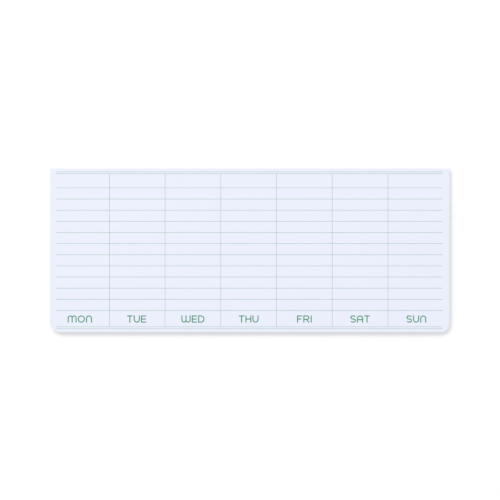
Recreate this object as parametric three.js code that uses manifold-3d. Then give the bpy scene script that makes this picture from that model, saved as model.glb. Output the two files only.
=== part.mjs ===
// Weekly sticky notes: a pad of ruled notes held together along its back edge, on a card.
// Millimetres. +X runs along the week, +Y to the glued back edge, and +Z up off the desk.
// The origin is under the middle of the pad, on the surface that the card rests on.

import * as THREE from "three";
import { mergeVertices } from "three/addons/utils/BufferGeometryUtils.js";
import Module from "manifold-3d";

// The week across the note: one column for each day
const dayCount = 7;
const dayWidth = 30;
const sideMargin = 2.5;

// The rows down the note, from the back edge to the front one
const borderInset = 1.8;
const borderGap = 1;
const headRowDepth = 7.6;
const rowCount = 11;
const rowDepth = 6;
const labelRowDepth = 8.8;

// The print: where it lies on the note, and its lines, which stop short of the week's two ends
const printShift = -0.65;
const ruleWidth = 0.18;
const ruleStartGap = 1.2;
const ruleEndGap = 0.6;
const inkThickness = 0.02;

// The stock: notes joined by the adhesive strip on each one's back, and the card below them
const noteCount = 30;
const noteThickness = 0.1;
const adhesiveThickness = 0.02;
const adhesiveDepth = 18;
const cardThickness = 0.5;

// The two front corners, cut round through the whole pad, and the flats that stand for each arc
const cornerRadius = 5;
const cornerFlats = 12;

// How far a tool that cuts the pad to shape runs past it
const cutClearance = 2;

// Sizes that follow from the ones above
const gridWidth = dayCount * dayWidth;
const padWidth = gridWidth + 2 * sideMargin;
const gridDepth = headRowDepth + rowCount * rowDepth + labelRowDepth;
const padDepth = gridDepth + 2 * (borderGap + borderInset);
const notePitch = noteThickness + adhesiveThickness;
const stackThickness = noteCount * notePitch - adhesiveThickness;
const printLevel = cardThickness + stackThickness;

const ruleStart = ruleStartGap - gridWidth / 2;
const ruleEnd = gridWidth / 2 - ruleEndGap;
const backEdge = padDepth / 2;
const frontEdge = -padDepth / 2;
const gridBack = backEdge - borderInset - borderGap;
const gridFront = frontEdge + borderInset + borderGap;

const wasm = await Module();
wasm.setup();

// A closed geometry as a solid that others can cut
function solidOf(geometry) {
  const bare = geometry.clone();
  bare.deleteAttribute("normal");
  bare.deleteAttribute("uv");
  const merged = mergeVertices(bare);
  const mesh = new wasm.Mesh({
    numProp: 3,
    vertProperties: merged.attributes.position.array,
    triVerts: new Uint32Array(merged.index.array),
  });
  return new wasm.Manifold(mesh);
}

// Flat-shaded triangles from points and, where several triangles share them, their order
function flatGeometry(points, order) {
  const shared = new THREE.BufferGeometry();
  shared.setAttribute("position", new THREE.BufferAttribute(points, 3));
  shared.setIndex(new THREE.BufferAttribute(order, 1));
  const geometry = shared.toNonIndexed();
  geometry.computeVertexNormals();
  return geometry;
}

// The pad seen from above: square at the glued edge, round at the two front corners
function padOutline() {
  const halfWidth = padWidth / 2;
  const arcRow = frontEdge + cornerRadius;
  const outline = new THREE.Shape();
  outline.moveTo(halfWidth, backEdge);
  outline.lineTo(-halfWidth, backEdge);
  outline.absarc(cornerRadius - halfWidth, arcRow, cornerRadius, Math.PI, 1.5 * Math.PI);
  outline.absarc(halfWidth - cornerRadius, arcRow, cornerRadius, 1.5 * Math.PI, 2 * Math.PI);
  outline.closePath();
  return outline;
}

// The outline at a thickness. An extruded arc has two flats for each of its curve segments.
function slab(thickness) {
  return new THREE.ExtrudeGeometry(padOutline(), {
    depth: thickness,
    curveSegments: cornerFlats / 2,
    bevelEnabled: false,
  });
}

// The notes seen from the side, a comb that is drawn longer than the pad at both ends: the
// adhesive joins each note to the next one down at the back, and in front of it they lie free.
function notesSection() {
  const tip = frontEdge - cutClearance;
  const root = backEdge - adhesiveDepth;
  const heel = backEdge + cutClearance;
  const section = new THREE.Shape();
  section.moveTo(heel, stackThickness);
  section.lineTo(tip, stackThickness);
  for (let note = noteCount - 1; note > 0; note -= 1) {
    const underside = note * notePitch;
    section.lineTo(tip, underside);
    section.lineTo(root, underside);
    section.lineTo(root, underside - adhesiveThickness);
    section.lineTo(tip, underside - adhesiveThickness);
  }
  section.lineTo(tip, 0);
  section.lineTo(heel, 0);
  section.closePath();
  return section;
}

// The notes: their side view run along the width, then trimmed to the outline in one cut
function notes() {
  const blockWidth = padWidth + 2 * cutClearance;
  const block = new THREE.ExtrudeGeometry(notesSection(), {
    depth: blockWidth,
    bevelEnabled: false,
  });
  const alongWidth = new THREE.Matrix4().makeBasis(
    new THREE.Vector3(0, 1, 0),
    new THREE.Vector3(0, 0, 1),
    new THREE.Vector3(1, 0, 0),
  );
  block.applyMatrix4(alongWidth);
  block.translate(-blockWidth / 2, 0, 0);
  const cutter = slab(stackThickness + 2 * cutClearance);
  cutter.translate(0, 0, -cutClearance);
  const trimmed = solidOf(block).intersect(solidOf(cutter)).getMesh();
  return flatGeometry(trimmed.vertProperties, trimmed.triVerts);
}

// A border line, straight across the note
function borderRule(y) {
  const line = new THREE.BoxGeometry(ruleEnd - ruleStart, ruleWidth, inkThickness);
  line.translate((ruleStart + ruleEnd) / 2, y, inkThickness / 2);
  return line;
}

// The near and far edge of a printed line
function lineEdges(middle) {
  return [middle - ruleWidth / 2, middle + ruleWidth / 2];
}

// The writing grid, one film of ink. The edges of its lines divide the note into cells: those
// with an odd place along the week lie in a day line, and those with an even place from front
// to back lie in a row line. Both are printed, and a wall stands where a printed cell ends.
function ruledGrid() {
  const across = [ruleStart];
  for (let day = 1; day < dayCount; day += 1) {
    across.push(...lineEdges(day * dayWidth - gridWidth / 2));
  }
  across.push(ruleEnd);

  const along = [...lineEdges(gridFront)];
  for (let row = 0; row <= rowCount; row += 1) {
    along.push(...lineEdges(gridFront + labelRowDepth + row * rowDepth));
  }
  along.push(...lineEdges(gridBack));

  const printed = (i, j) =>
    i >= 0 && i < across.length - 1 && j >= 0 && j < along.length - 1 && (i % 2 === 1 || j % 2 === 0);

  const points = [];
  const quad = (a, b, c, d) => points.push(...a, ...b, ...c, ...a, ...c, ...d);
  for (let i = 0; i < across.length - 1; i += 1) {
    for (let j = 0; j < along.length - 1; j += 1) {
      if (!printed(i, j)) continue;
      const corners = (z) => [
        [across[i], along[j], z],
        [across[i + 1], along[j], z],
        [across[i + 1], along[j + 1], z],
        [across[i], along[j + 1], z],
      ];
      const low = corners(0);
      const high = corners(inkThickness);
      quad(high[0], high[1], high[2], high[3]);
      quad(low[3], low[2], low[1], low[0]);
      const neighbours = [[i, j - 1], [i + 1, j], [i, j + 1], [i - 1, j]];
      neighbours.forEach(([besideI, besideJ], side) => {
        const next = (side + 1) % neighbours.length;
        if (!printed(besideI, besideJ)) quad(low[side], low[next], high[next], high[side]);
      });
    }
  }
  const geometry = new THREE.BufferGeometry();
  geometry.setAttribute("position", new THREE.Float32BufferAttribute(points, 3));
  geometry.computeVertexNormals();
  return geometry;
}

// The materials
const paper = new THREE.MeshStandardMaterial({ color: "#ecf0fc", roughness: 0.85, metalness: 0 });
const card = new THREE.MeshStandardMaterial({ color: "#e2dfd8", roughness: 0.9, metalness: 0 });
const ink = new THREE.MeshStandardMaterial({ color: "#8cb696", roughness: 0.7, metalness: 0 });

function piece(name, geometry, material) {
  const mesh = new THREE.Mesh(geometry, material);
  mesh.name = name;
  return mesh;
}

// The pad: the card on the desk, the notes on the card, and the print on the top note
const pad = new THREE.Group();
pad.name = "weekly_sticky_notes";

pad.add(piece("backing_card", slab(cardThickness), card));

const noteStack = piece("note_stack", notes(), paper);
noteStack.position.z = cardThickness;
pad.add(noteStack);

const print = new THREE.Group();
print.position.set(printShift, 0, printLevel);
print.add(piece("ruled_grid", ruledGrid(), ink));
print.add(piece("back_border_rule", borderRule(backEdge - borderInset), ink));
print.add(piece("front_border_rule", borderRule(frontEdge + borderInset), ink));
pad.add(print);

export default pad;
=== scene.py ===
"""Weekly sticky notes: the paper, card and ink of the pad, its printed day names and its stage."""

import math

import bmesh
import bpy
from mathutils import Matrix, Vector


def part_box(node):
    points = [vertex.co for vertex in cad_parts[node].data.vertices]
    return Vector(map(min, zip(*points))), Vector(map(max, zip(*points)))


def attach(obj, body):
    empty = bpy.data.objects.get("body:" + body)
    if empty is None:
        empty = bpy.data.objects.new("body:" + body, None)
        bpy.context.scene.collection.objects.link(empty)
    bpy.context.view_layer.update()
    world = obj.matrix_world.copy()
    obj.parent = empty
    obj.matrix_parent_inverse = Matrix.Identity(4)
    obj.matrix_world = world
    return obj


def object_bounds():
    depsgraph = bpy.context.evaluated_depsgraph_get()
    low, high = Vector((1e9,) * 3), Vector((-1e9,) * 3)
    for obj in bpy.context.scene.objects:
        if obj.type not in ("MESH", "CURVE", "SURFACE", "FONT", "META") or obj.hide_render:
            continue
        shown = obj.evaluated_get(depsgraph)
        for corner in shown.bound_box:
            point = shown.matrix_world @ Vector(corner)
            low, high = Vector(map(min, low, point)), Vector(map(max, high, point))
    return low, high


bl_info = {
    "name": "Weekly Sticky Notes",
    "version": (1, 0, 0),
    "blender": (4, 5, 0),
    "location": "3D View > Sidebar > Sticky Notes",
    "description": "Finishes a pad of weekly sticky notes and lays it on a white table",
    "category": "Object",
}

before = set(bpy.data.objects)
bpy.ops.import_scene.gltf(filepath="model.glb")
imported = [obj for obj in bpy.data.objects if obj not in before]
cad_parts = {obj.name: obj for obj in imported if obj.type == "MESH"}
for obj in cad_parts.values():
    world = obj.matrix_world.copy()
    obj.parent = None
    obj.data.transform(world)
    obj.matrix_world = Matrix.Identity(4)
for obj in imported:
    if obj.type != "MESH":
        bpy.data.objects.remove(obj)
cad_low, cad_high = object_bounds()
stack_low, stack_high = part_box("note_stack")

MM = 0.001
BODY = "root"
DAYS = ("MON", "TUE", "WED", "THU", "FRI", "SAT", "SUN")

# The finishes. A tone is how far a pattern darkens and lightens its colour, a roughness is the
# range that the finest pattern spreads it over, and a relief is the height of its bumps.
PAPER_SHEEN = 0.2
PAPER_ROUGHNESS = (0.8, 0.92)
PAPER_RELIEF = 0.014 * MM
CLOUD_TONE = (0.994, 1.006)
FIBRE_TONE = (0.975, 1.02)

# The notes' cut edges, which are the faces whose normals rise less than EDGE_RISE
EDGE_RISE = 0.5
NOTE_TONE = (0.94, 1.03)
BUNDLE_SIZE = 0.8 * MM
BUNDLE_TONE = (0.93, 1.05)
KNIFE_MARK_SIZE = 0.5 * MM
KNIFE_MARK_TONE = (0.95, 1.04)

# The card
CARD_ROUGHNESS = (0.82, 0.96)
CARD_RELIEF = 0.02 * MM
PULP_SIZE = 0.5 * MM
PULP_TONE = (0.95, 1.04)

# A fleck begins and is full at these levels of its noise, and then hides this much of the board
FLECK_RANGE = (0.68, 0.74)
FLECK_SHARE = 0.45

# The ink
INK_SHEEN = 0.25
INK_ROUGHNESS = (0.62, 0.8)
INK_RELIEF = 0.003 * MM
GRAIN_SIZE = 0.12 * MM
GRAIN_TONE = (0.9, 1.1)
FLOW_SIZE = 2 * MM
FLOW_TONE = (0.95, 1.05)

# The letters, in letter heights. Points nearer than WELD become one. The turn of an S's lips,
# and the turn that one flat of an arc takes, are in degrees.
WIDTHS = {
    "M": 1.25, "O": 1, "N": 0.83, "T": 0.77, "U": 0.85, "E": 0.73, "W": 1.28,
    "D": 0.89, "H": 0.82, "F": 0.72, "R": 0.86, "S": 0.75, "A": 0.86,
}
MIDDLE_BAR = 0.5
E_MIDDLE_BAR_END = 0.67
F_MIDDLE_BAR_END = 0.6
A_BAR = 0.4
R_BOWL_WIDTH = 0.83
R_WAIST = 0.46
WELD = 1e-4
S_LIP = 28
FLAT_TURN = 7.5

# The table: how far it lies under the card, how long a ray can be and still pass through it, so
# that light reaches the card from below, and its white for rays that the camera doesn't see
TABLE_GAP = 0.03 * MM
CARD_RAY = 2 * TABLE_GAP
TABLE_LIGHT_WHITE = 0.85

# The camera's sensor in millimetres, and how far it sees, in times its height over the pad
SENSOR = 36
REACH = 2


def linear(red, green, blue):
    """A colour as it shows on a screen, from 0 to 255, turned into linear values from 0 to 1."""

    def one(value):
        share = value / 255
        return share / 12.92 if share <= 0.04045 else ((share + 0.055) / 1.055) ** 2.4

    return one(red), one(green), one(blue)


class PaperSettings(bpy.types.PropertyGroup):
    """The notes' paper"""

    colour: bpy.props.FloatVectorProperty(
        name="Paper",
        description="Colour of the notes' paper, a pale blue white",
        subtype="COLOR",
        default=linear(236, 240, 253),
        min=0,
        max=1,
    )
    # The cut edges' colour is less blue than the faces, and darker than them as painted shade between
    # the notes.
    shaded_edge_colour: bpy.props.FloatVectorProperty(
        name="Cut edges",
        description="Colour of the paper where the knife cut it",
        subtype="COLOR",
        default=linear(229, 232, 241),
        min=0,
        max=1,
    )
    adhesive_colour: bpy.props.FloatVectorProperty(
        name="Adhesive",
        description="Colour of the adhesive between two notes, seen at the back edge",
        subtype="COLOR",
        default=linear(205, 208, 214),
        min=0,
        max=1,
    )
    note_thickness: bpy.props.FloatProperty(
        name="Note thickness",
        description="Thickness of one note",
        subtype="DISTANCE",
        default=0.1 * MM,
    )
    adhesive_thickness: bpy.props.FloatProperty(
        name="Adhesive thickness",
        description="Thickness of the adhesive strip between two notes",
        subtype="DISTANCE",
        default=0.02 * MM,
    )
    adhesive_depth: bpy.props.FloatProperty(
        name="Adhesive depth",
        description="How far the adhesive strip reaches from the back edge",
        subtype="DISTANCE",
        default=18 * MM,
    )
    fibre_size: bpy.props.FloatProperty(
        name="Fibre size",
        description="Size of the fine grain of the paper",
        subtype="DISTANCE",
        default=0.22 * MM,
    )
    cloud_size: bpy.props.FloatProperty(
        name="Cloud size",
        description="Size of the faint clouds where the pulp lies thicker or thinner",
        subtype="DISTANCE",
        default=5 * MM,
    )


class CardSettings(bpy.types.PropertyGroup):
    """The backing card"""

    colour: bpy.props.FloatVectorProperty(
        name="Card",
        description="Colour of the card under the notes",
        subtype="COLOR",
        default=linear(226, 223, 216),
        min=0,
        max=1,
    )
    fleck_colour: bpy.props.FloatVectorProperty(
        name="Flecks",
        description="Colour of the darker fibres in the card",
        subtype="COLOR",
        default=linear(176, 168, 156),
        min=0,
        max=1,
    )
    fleck_length: bpy.props.FloatProperty(
        name="Fleck length",
        description="Length of the longest fibres that show in the card",
        subtype="DISTANCE",
        default=1.6 * MM,
    )


class PrintSettings(bpy.types.PropertyGroup):
    """The ink, and the day names in it"""

    ink: bpy.props.FloatVectorProperty(
        name="Ink",
        description="Colour of the day names",
        subtype="COLOR",
        default=linear(50, 147, 102),
        min=0,
        max=1,
    )
    rule_ink: bpy.props.FloatVectorProperty(
        name="Line ink",
        description="Colour of the printed lines",
        subtype="COLOR",
        default=linear(135, 182, 149),
        min=0,
        max=1,
    )
    ink_thickness: bpy.props.FloatProperty(
        name="Ink thickness",
        description="Thickness of the film of ink",
        subtype="DISTANCE",
        default=0.02 * MM,
    )
    print_shift: bpy.props.FloatProperty(
        name="Print shift",
        description="How far the middle of the week lies to the right of the pad's middle",
        subtype="DISTANCE",
        default=-0.65 * MM,
    )
    day_width: bpy.props.FloatProperty(
        name="Day width",
        description="Width of one day's column",
        subtype="DISTANCE",
        default=30 * MM,
    )
    cap_height: bpy.props.FloatProperty(
        name="Letter height",
        description="Height of the letters",
        subtype="DISTANCE",
        default=3.85 * MM,
    )
    pen_width: bpy.props.FloatProperty(
        name="Pen width",
        description="Width of a letter's strokes",
        subtype="DISTANCE",
        default=0.55 * MM,
    )
    letter_gap: bpy.props.FloatProperty(
        name="Letter gap",
        description="Clear space between two letters",
        subtype="DISTANCE",
        default=0.62 * MM,
    )
    name_row: bpy.props.FloatProperty(
        name="Name row",
        description="From the pad's front edge to the middle of the letters",
        subtype="DISTANCE",
        default=7 * MM,
    )
    name_shifts: bpy.props.FloatVectorProperty(
        name="Name shifts",
        description="How far each day's name lies to the right of the middle of its column",
        subtype="TRANSLATION",
        size=len(DAYS),
        default=(-0.9 * MM, -0.3 * MM, 0, 0, 0, 0, 0.3 * MM),
    )


class StageSettings(bpy.types.PropertyGroup):
    """The table, the light and the camera"""

    table_size: bpy.props.FloatProperty(
        name="Table size",
        description="Length of each side of the white table",
        subtype="DISTANCE",
        default=6,
    )
    table_white: bpy.props.FloatProperty(
        name="Table white",
        description="How bright the camera sees the table where no shadow falls on it",
        default=1.04,
    )
    sky: bpy.props.FloatProperty(
        name="Sky",
        description="Strength of the even light from all round",
        default=0.775,
    )
    key_power: bpy.props.FloatProperty(
        name="Key lamp",
        description="Power of the soft lamp at the upper left",
        subtype="POWER",
        default=15.4,
    )
    key_distance: bpy.props.FloatProperty(
        name="Key distance",
        description="How far the lamp is from the pad",
        subtype="DISTANCE",
        default=2.4,
    )
    key_width: bpy.props.FloatProperty(
        name="Key width",
        description="Width of the round lamp, which sets how soft the shadow is",
        subtype="DISTANCE",
        default=1.06,
    )
    key_height: bpy.props.FloatProperty(
        name="Key height",
        description="Angle of the lamp above the table",
        subtype="ANGLE",
        default=math.radians(60),
    )
    key_bearing: bpy.props.FloatProperty(
        name="Key bearing",
        description="Angle of the lamp round the pad, from +X towards +Y",
        subtype="ANGLE",
        default=math.radians(121),
    )
    lens: bpy.props.FloatProperty(
        name="Lens",
        description="Focal length of the camera that looks straight down, in millimetres",
        default=200,
    )
    picture_width: bpy.props.FloatProperty(
        name="Picture width",
        description="Width of what the camera sees at the top note",
        subtype="DISTANCE",
        default=269.2 * MM,
    )
    camera_place: bpy.props.FloatVectorProperty(
        name="Camera place",
        description="Where the camera stands over the pad",
        subtype="TRANSLATION",
        size=2,
        default=(0.07 * MM, 0.16 * MM),
    )


def select_only(piece):
    """Leaves one object selected and active."""
    bpy.ops.object.select_all(action="DESELECT")
    piece.select_set(True)
    bpy.context.view_layer.objects.active = piece


class Nodes:
    """A tree of shader nodes, to which nodes are added."""

    def __init__(self, tree):
        self.nodes = tree.nodes
        self.links = tree.links

    def add(self, kind, settings=None, **inputs):
        """A node, its settings, and what its inputs take: a value, or another node's output."""
        node = self.nodes.new(kind)
        for setting, value in (settings or {}).items():
            setattr(node, setting, value)
        for name, value in inputs.items():
            self.feed(node.inputs[name.replace("_", " ")], value)
        return node

    def feed(self, socket, value):
        """Links another node's output to a socket, or sets the socket's own value."""
        if isinstance(value, bpy.types.NodeSocket):
            self.links.new(value, socket)
        else:
            socket.default_value = value

    def math(self, operation, *values):
        """One step of arithmetic on one or two values."""
        node = self.add("ShaderNodeMath", {"operation": operation})
        for socket, value in zip(node.inputs, values):
            self.feed(socket, value)
        return node.outputs[0]

    def between(self, value, low, high):
        """A 0 to 1 value spread over low to high."""
        node = self.add("ShaderNodeMapRange", Value=value, To_Min=low, To_Max=high)
        return node.outputs["Result"]

    def seen(self):
        """1 for rays from the camera, or seen in gloss or through glass, and 0 for light's own."""
        path = self.add("ShaderNodeLightPath")
        value = path.outputs["Is Camera Ray"]
        for name in ("Is Glossy Ray", "Is Transmission Ray"):
            value = self.math("MAXIMUM", value, path.outputs[name])
        return value


class Shader(Nodes):
    """A material with a Principled shader, and the patterns and colours that feed it."""

    def __init__(self, name):
        self.material = bpy.data.materials.new(name)
        self.material.use_nodes = True
        super().__init__(self.material.node_tree)
        self.surface = self.nodes["Principled BSDF"]
        self.place = self.add("ShaderNodeTexCoord").outputs["Object"]

    def noise(self, size, detail=4, roughness=0.6, stretch=(1, 1, 1)):
        """Grey noise whose features are about size across. A stretch under 1 draws them out."""
        spread = self.add("ShaderNodeMapping", Vector=self.place, Scale=stretch)
        texture = self.add(
            "ShaderNodeTexNoise",
            Vector=spread.outputs["Vector"],
            Scale=1 / size,
            Detail=detail,
            Roughness=roughness,
        )
        return texture.outputs["Fac"]

    def mix(self, share, first, second):
        """Two colours mixed by a share."""
        node = self.add("ShaderNodeMix", {"data_type": "RGBA"})
        self.feed(node.inputs["Factor"], share)
        for name, colour in (("A", first), ("B", second)):
            socket = next(s for s in node.inputs if s.name == name and s.type == "RGBA")
            self.feed(socket, colour if isinstance(colour, bpy.types.NodeSocket) else (*colour, 1))
        return next(s for s in node.outputs if s.type == "RGBA")

    def tone(self, colour, value, low, high):
        """A colour made darker or lighter by a 0 to 1 value."""
        level = self.between(value, low, high)
        node = self.add("ShaderNodeVectorMath", {"operation": "SCALE"})
        self.feed(node.inputs[0], colour)
        self.feed(node.inputs["Scale"], level)
        return node.outputs["Vector"]

    def finish(self, colour, grain, roughness, sheen, relief):
        """Feeds the surface: its colour, and a grain that varies its roughness and its height."""
        bumps = self.add("ShaderNodeBump", Height=grain, Distance=relief, Strength=1.0)
        self.feed(self.surface.inputs["Base Color"], colour)
        self.feed(self.surface.inputs["Roughness"], self.between(grain, *roughness))
        self.feed(self.surface.inputs["Specular IOR Level"], sheen)
        self.feed(self.surface.inputs["Normal"], bumps.outputs["Normal"])
        return self.material


def cut_edge_colour(shader, paper):
    """The notes' cut edges, darker than the faces with painted shade between the notes: each note's
    own tint, knife marks, and the adhesive between notes.
    """
    place = shader.add("ShaderNodeSeparateXYZ", Vector=shader.place)
    pitch = paper.note_thickness + paper.adhesive_thickness
    level = shader.math("DIVIDE", shader.math("SUBTRACT", place.outputs["Z"], stack_low.z), pitch)
    number = shader.math("FLOOR", level)
    own_tint = shader.add("ShaderNodeTexWhiteNoise", {"noise_dimensions": "1D"}, W=number)
    bundles = shader.noise(BUNDLE_SIZE, detail=2, stretch=(0.012, 0.012, 1))
    knife_marks = shader.noise(KNIFE_MARK_SIZE, detail=5, stretch=(1, 1, 0.12))
    # The edge colour is painted shade: darker than the faces, as if shaded between the notes.
    cut = shader.tone(tuple(paper.shaded_edge_colour), own_tint.outputs["Value"], *NOTE_TONE)
    cut = shader.tone(cut, bundles, *BUNDLE_TONE)
    cut = shader.tone(cut, knife_marks, *KNIFE_MARK_TONE)

    in_gap = shader.math("GREATER_THAN", shader.math("FRACT", level), paper.note_thickness / pitch)
    root = stack_high.y - paper.adhesive_depth
    in_strip = shader.math("GREATER_THAN", place.outputs["Y"], root)
    adhesive = shader.math("MULTIPLY", in_gap, in_strip)
    return shader.mix(adhesive, cut, tuple(paper.adhesive_colour))


def paper_shader(paper):
    """The notes: faint clouds and fine fibres on their faces, and the colour of their cut edges."""
    shader = Shader("note paper")
    clouds = shader.noise(paper.cloud_size, detail=3)
    fibres = shader.noise(paper.fibre_size, detail=6, stretch=(0.6, 1, 1))
    sheet = shader.tone(tuple(paper.colour), clouds, *CLOUD_TONE)
    sheet = shader.tone(sheet, fibres, *FIBRE_TONE)
    cut = cut_edge_colour(shader, paper)

    facing = shader.add("ShaderNodeNewGeometry").outputs["Normal"]
    upright = shader.math("ABSOLUTE", shader.add("ShaderNodeSeparateXYZ", Vector=facing).outputs["Z"])
    on_edge = shader.math("LESS_THAN", upright, EDGE_RISE)
    colour = shader.mix(on_edge, sheet, cut)
    return shader.finish(colour, fibres, PAPER_ROUGHNESS, PAPER_SHEEN, PAPER_RELIEF)


def card_shader(card):
    """The backing card: a grey-white board with darker fibres, matt and a little coarse."""
    shader = Shader("backing card")
    pulp = shader.noise(PULP_SIZE, detail=6, roughness=0.7)
    flecks = shader.noise(card.fleck_length, detail=2, stretch=(0.35, 2.4, 1))
    start, full = FLECK_RANGE
    shown = shader.add("ShaderNodeMapRange", Value=flecks, From_Min=start, From_Max=full)
    faint = shader.math("MULTIPLY", shown.outputs["Result"], FLECK_SHARE)
    board = shader.tone(tuple(card.colour), pulp, *PULP_TONE)
    colour = shader.mix(faint, board, tuple(card.fleck_colour))
    return shader.finish(colour, pulp, CARD_ROUGHNESS, PAPER_SHEEN, CARD_RELIEF)


def ink_shader(name, colour):
    """Ink that has sunk into the paper: a little uneven, with the paper's grain in it."""
    shader = Shader(name)
    grain = shader.noise(GRAIN_SIZE, detail=5)
    flow = shader.noise(FLOW_SIZE, detail=2)
    inked = shader.tone(tuple(colour), grain, *GRAIN_TONE)
    inked = shader.tone(inked, flow, *FLOW_TONE)
    return shader.finish(inked, grain, INK_ROUGHNESS, INK_SHEEN, INK_RELIEF)


def coat(piece, material):
    """Gives a piece its one material."""
    piece.data.materials.clear()
    piece.data.materials.append(material)


class NOTES_OT_paper(bpy.types.Operator):
    """Give the notes their paper"""

    bl_idname = "notes.paper"
    bl_label = "Notes"

    def execute(self, context):
        coat(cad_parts["note_stack"], paper_shader(context.scene.note_paper))
        return {"FINISHED"}


class NOTES_OT_card(bpy.types.Operator):
    """Give the backing card its board"""

    bl_idname = "notes.card"
    bl_label = "Backing card"

    def execute(self, context):
        coat(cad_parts["backing_card"], card_shader(context.scene.note_card))
        return {"FINISHED"}


class NOTES_OT_rules(bpy.types.Operator):
    """Give the printed lines their ink"""

    bl_idname = "notes.rules"
    bl_label = "Printed lines"

    def execute(self, context):
        ink = ink_shader("line ink", context.scene.note_print.rule_ink)
        for name in ("ruled_grid", "back_border_rule", "front_border_rule"):
            coat(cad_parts[name], ink)
        return {"FINISHED"}


def run(length):
    """A straight move of the pen."""
    return ("run", length, 0)


def arc(radius, left):
    """A round move of the pen, by an angle in degrees to the left."""
    return ("arc", radius, left)


def arches(width, pen, count, standing):
    """Round arches side by side, on their feet as in an n, or upside down as in a u."""
    radius = (width - pen) / 2 / count
    leg = 1 - radius - pen / 2
    strokes = []
    for number in range(count):
        x = pen / 2 + 2 * radius * number
        foot = 0 if number == 0 else leg - pen
        moves = (run(leg - foot), arc(radius, -180 if standing else 180), run(leg))
        strokes.append((x, foot, 90, moves) if standing else (x, 1 - foot, -90, moves))
    return strokes


def stem(x, top=1):
    """An upright stroke from the line that the letters stand on, up to a height."""
    return (x, 0, 90, (run(top),))


def bar(left, right, height):
    """A level stroke."""
    return (left, height, 0, (run(right - left),))


def bowl(width, pen, foot):
    """The round side of a D or an R, from the top of the stem back to it at a height."""
    top = 1 - pen / 2
    radius = (top - foot) / 2
    flat = width - pen - radius
    return (pen / 2, top, 0, (run(flat), arc(radius, -180), run(flat)))


def double_curve(width, pen):
    """The S: two bowls that open to opposite sides, each with a lip that turns in."""
    radius = (1 - pen) / 4
    flat = width - pen - 2 * radius
    lip = math.radians(S_LIP)
    x = width - pen / 2 - radius + radius * math.cos(lip)
    y = 1 - pen / 2 - radius + radius * math.sin(lip)
    moves = (
        arc(radius, 90 - S_LIP), run(flat), arc(radius, 180), run(flat),
        arc(radius, -180), run(flat), arc(radius, S_LIP - 90),
    )
    return (x, y, 90 + S_LIP, moves)


def leg_of_r(width, pen):
    """The slanting leg of an R, from its waist to the lower right corner."""
    start = width / 2
    reach = width - pen / 2 - start
    slant = math.degrees(math.atan2(-R_WAIST, reach))
    return (start, R_WAIST, slant, (run(math.hypot(reach, R_WAIST)),))


def letters(pen):
    """Each letter's width and pen strokes, in letter heights, from its lower left corner.

    A stroke is where it starts, x and y, which way it sets out, in degrees, and its moves.
    """
    left = bottom = pen / 2
    top = 1 - pen / 2
    wide = {**WIDTHS, "I": pen}
    right = {letter: width - pen / 2 for letter, width in wide.items()}
    ring = (1 - pen) / 2
    strokes = {
        "M": arches(wide["M"], pen, count=2, standing=True),
        "O": [(left, 0.5, 90, (arc(ring, -180), arc(ring, -180)))],
        "N": arches(wide["N"], pen, count=1, standing=True),
        "T": [bar(0, wide["T"], top), stem(wide["T"] / 2, top)],
        "U": arches(wide["U"], pen, count=1, standing=False),
        "E": [
            stem(left), bar(left, wide["E"], top), bar(left, E_MIDDLE_BAR_END, MIDDLE_BAR),
            bar(left, wide["E"], bottom),
        ],
        "W": arches(wide["W"], pen, count=2, standing=False),
        "D": [stem(left), bowl(wide["D"], pen, bottom)],
        "H": [stem(left), stem(right["H"]), bar(left, right["H"], MIDDLE_BAR)],
        "F": [stem(left), bar(left, wide["F"], top), bar(left, F_MIDDLE_BAR_END, MIDDLE_BAR)],
        "R": [stem(left), bowl(R_BOWL_WIDTH, pen, R_WAIST), leg_of_r(wide["R"], pen)],
        "I": [stem(left)],
        "S": [double_curve(wide["S"], pen)],
        "A": [*arches(wide["A"], pen, count=1, standing=True), bar(left, right["A"], A_BAR)],
    }
    return {letter: (wide[letter], strokes[letter]) for letter in strokes}


def draw_stroke(x, y, heading, moves, pen, ink):
    """One pen stroke as a flat film: a nib's edge, drawn out along its moves and then raised."""
    bpy.ops.object.select_all(action="DESELECT")
    bpy.ops.mesh.primitive_plane_add(size=pen)
    stroke = bpy.context.object
    bpy.ops.object.mode_set(mode="EDIT")
    mesh = bmesh.from_edit_mesh(stroke.data)
    for corner in mesh.verts:
        corner.select_set(corner.co.x < 0)
    mesh.select_flush(True)
    bmesh.update_edit_mesh(stroke.data)
    bpy.ops.mesh.delete(type="VERT")

    angle = math.radians(heading)
    mesh = bmesh.from_edit_mesh(stroke.data)
    for end in mesh.verts:
        side = end.co.y
        end.co = (x - side * math.sin(angle), y + side * math.cos(angle), 0)
        end.select_set(True)
    mesh.select_flush(True)
    bmesh.update_edit_mesh(stroke.data)

    for kind, size, left_turn in moves:
        ahead = Vector((math.cos(angle), math.sin(angle), 0))
        if kind == "run":
            step = tuple(ahead * size)
            bpy.ops.mesh.extrude_region_move(TRANSFORM_OT_translate={"value": step})
            continue
        turn = math.radians(left_turn)
        left = Vector((-ahead.y, ahead.x, 0))
        nib = [end.co for end in bmesh.from_edit_mesh(stroke.data).verts if end.select]
        centre = sum(nib, Vector()) / len(nib) + left * math.copysign(size, turn)
        flats = round(abs(left_turn) / FLAT_TURN)
        bpy.ops.mesh.spin(steps=flats, angle=-turn, center=centre, axis=(0, 0, 1))
        angle += turn

    bpy.ops.mesh.select_all(action="SELECT")
    bpy.ops.mesh.remove_doubles(threshold=WELD)
    bpy.ops.mesh.extrude_region_move(TRANSFORM_OT_translate={"value": (0, 0, ink)})
    bpy.ops.mesh.select_all(action="SELECT")
    bpy.ops.mesh.normals_make_consistent(inside=False)
    bpy.ops.object.mode_set(mode="OBJECT")
    return stroke


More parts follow.
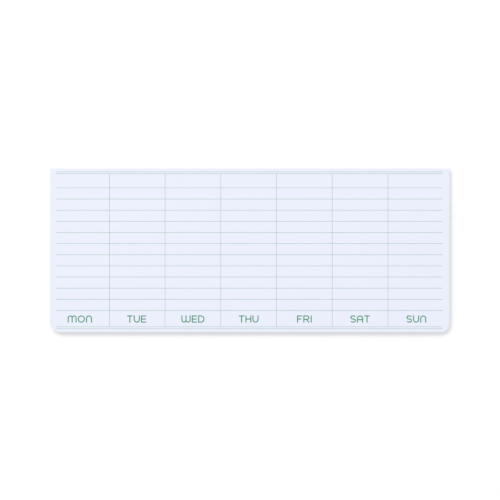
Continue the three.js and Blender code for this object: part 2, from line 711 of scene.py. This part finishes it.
def draw_letter(strokes, pen, ink):
    """A letter's strokes joined into one film."""
    first, *others = [draw_stroke(*stroke, pen, ink) for stroke in strokes]
    for other in others:
        select_only(first)
        join = first.modifiers.new("join", "BOOLEAN")
        join.operation = "UNION"
        join.solver = "EXACT"
        join.object = other
        bpy.ops.object.modifier_apply(modifier=join.name)
        bpy.data.objects.remove(other)
    select_only(first)
    bpy.ops.object.mode_set(mode="EDIT")
    bpy.ops.mesh.select_all(action="SELECT")
    bpy.ops.mesh.remove_doubles(threshold=WELD)
    bpy.ops.mesh.dissolve_degenerate(threshold=WELD)
    bpy.ops.object.mode_set(mode="OBJECT")
    return first


def print_name(day, models, pen, gap, settings):
    """One day's name as copies of its letters, in the front row of its column."""
    widths = [models[letter][0] for letter in day]
    cap = settings.cap_height
    length = (sum(widths) + gap * (len(day) - 1)) * cap
    number = DAYS.index(day)
    middle = settings.print_shift + (number - (len(DAYS) - 1) / 2) * settings.day_width
    x = middle + settings.name_shifts[number] - length / 2
    y = cad_low.y + settings.name_row - cap / 2
    copies = []
    for letter, width in zip(day, widths):
        copy = bpy.data.objects.new(letter, models[letter][1].data.copy())
        bpy.context.collection.objects.link(copy)
        copy.location = (x, y, stack_high.z)
        copy.scale = (cap, cap, cap)
        copies.append(copy)
        x += (width + gap) * cap
    bpy.ops.object.select_all(action="DESELECT")
    for copy in copies:
        copy.select_set(True)
    bpy.context.view_layer.objects.active = copies[0]
    bpy.ops.object.transform_apply(location=True, rotation=True, scale=True)
    bpy.ops.object.join()
    name = bpy.context.object
    name.name = name.data.name = "day_name_" + day.lower()
    return name


class NOTES_OT_day_names(bpy.types.Operator):
    """Print the seven day names at the front of the top note"""

    bl_idname = "notes.day_names"
    bl_label = "Day names"

    def execute(self, context):
        settings = context.scene.note_print
        pen = settings.pen_width / settings.cap_height
        ink = settings.ink_thickness / settings.cap_height
        gap = settings.letter_gap / settings.cap_height
        shapes = letters(pen)
        models = {
            letter: (shapes[letter][0], draw_letter(shapes[letter][1], pen, ink))
            for letter in sorted(set("".join(DAYS)))
        }
        material = ink_shader("name ink", settings.ink)
        for day in DAYS:
            name = print_name(day, models, pen, gap, settings)
            coat(name, material)
            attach(name, BODY)
        for _, model in models.values():
            bpy.data.objects.remove(model)
        return {"FINISHED"}


def table_shader(stage):
    """A matt white table that keeps the pad's shadow.

    From below it can't be seen, and it lets light through to the card that lies on it.
    """
    material = bpy.data.materials.new("white table")
    material.use_nodes = True
    tree = Nodes(material.node_tree)
    tree.nodes.remove(tree.nodes["Principled BSDF"])
    white = tree.between(tree.seen(), TABLE_LIGHT_WHITE, stage.table_white)
    matt = tree.add("ShaderNodeBsdfDiffuse", Color=white)
    clear = tree.add("ShaderNodeBsdfTransparent")
    length = tree.add("ShaderNodeLightPath").outputs["Ray Length"]
    at_card = tree.math("LESS_THAN", length, CARD_RAY)
    below = tree.add("ShaderNodeNewGeometry").outputs["Backfacing"]
    side = tree.add("ShaderNodeMixShader", Fac=tree.math("MAXIMUM", below, at_card))
    tree.feed(side.inputs[1], matt.outputs["BSDF"])
    tree.feed(side.inputs[2], clear.outputs["BSDF"])
    tree.feed(tree.nodes["Material Output"].inputs["Surface"], side.outputs["Shader"])
    return material


def lay_table(stage):
    """The table, a hair under the card so that their faces don't meet."""
    bpy.ops.object.select_all(action="DESELECT")
    bpy.ops.mesh.primitive_plane_add(size=stage.table_size, location=(0, 0, -TABLE_GAP))
    table = bpy.context.object
    table.name = "table"
    table.data.materials.append(table_shader(stage))


def light(stage):
    """One soft lamp from the upper left and even light from all round."""
    towards = Vector((
        math.cos(stage.key_height) * math.cos(stage.key_bearing),
        math.cos(stage.key_height) * math.sin(stage.key_bearing),
        math.sin(stage.key_height),
    ))
    bpy.ops.object.light_add(type="AREA", location=towards * stage.key_distance)
    lamp = bpy.context.object
    lamp.name = "key lamp"
    lamp.data.shape = "DISK"
    lamp.data.size = stage.key_width
    lamp.data.energy = stage.key_power
    lamp.rotation_euler = towards.to_track_quat("Z", "Y").to_euler()

    world = bpy.data.worlds.new("studio")
    world.use_nodes = True
    tree = Nodes(world.node_tree)
    sky = tree.nodes["Background"]
    sky.inputs["Color"].default_value = (1, 1, 1, 1)
    tree.feed(sky.inputs["Strength"], tree.between(tree.seen(), stage.sky, 1))
    bpy.context.scene.world = world


def stand_camera(stage):
    """A long lens straight above the pad, with the pad's back edge at the top of the picture."""
    height = stage.picture_width * stage.lens / SENSOR
    bpy.ops.object.camera_add(location=(*stage.camera_place, cad_high.z + height), rotation=(0, 0, 0))
    camera = bpy.context.object
    camera.name = "camera"
    camera.data.sensor_width = SENSOR
    camera.data.lens = stage.lens
    camera.data.clip_end = REACH * height
    bpy.context.scene.camera = camera


class NOTES_OT_stage(bpy.types.Operator):
    """Lay the white table, and set the light and the camera"""

    bl_idname = "notes.stage"
    bl_label = "Stage"

    def execute(self, context):
        stage = context.scene.note_stage
        context.scene.view_settings.view_transform = "Standard"
        lay_table(stage)
        light(stage)
        stand_camera(stage)
        return {"FINISHED"}


SETTINGS = {
    "note_paper": PaperSettings,
    "note_card": CardSettings,
    "note_print": PrintSettings,
    "note_stage": StageSettings,
}
OPERATORS = (NOTES_OT_paper, NOTES_OT_card, NOTES_OT_rules, NOTES_OT_day_names, NOTES_OT_stage)


class NOTES_PT_sidebar(bpy.types.Panel):
    """The pad's pieces, and the sizes and colours that they take"""

    bl_label = "Weekly Sticky Notes"
    bl_space_type = "VIEW_3D"
    bl_region_type = "UI"
    bl_category = "Sticky Notes"

    def draw(self, context):
        for operator in OPERATORS:
            self.layout.operator(operator.bl_idname)
        for name, group in SETTINGS.items():
            box = self.layout.box()
            box.label(text=group.__doc__)
            for setting in group.__annotations__:
                box.prop(getattr(context.scene, name), setting)


def register():
    """Adds the settings, the operators and the panel."""
    for group in (*SETTINGS.values(), *OPERATORS, NOTES_PT_sidebar):
        bpy.utils.register_class(group)
    for name, group in SETTINGS.items():
        setattr(bpy.types.Scene, name, bpy.props.PointerProperty(type=group))


def unregister():
    """Removes the settings, the operators and the panel."""
    for name in SETTINGS:
        delattr(bpy.types.Scene, name)
    for group in (NOTES_PT_sidebar, *reversed(OPERATORS), *reversed(SETTINGS.values())):
        bpy.utils.unregister_class(group)


def main():
    """Finishes the pad and lays it on its stage."""
    register()
    bpy.ops.notes.paper()
    bpy.ops.notes.card()
    bpy.ops.notes.rules()
    bpy.ops.notes.day_names()
    bpy.ops.notes.stage()


if __name__ == "__main__":
    main()
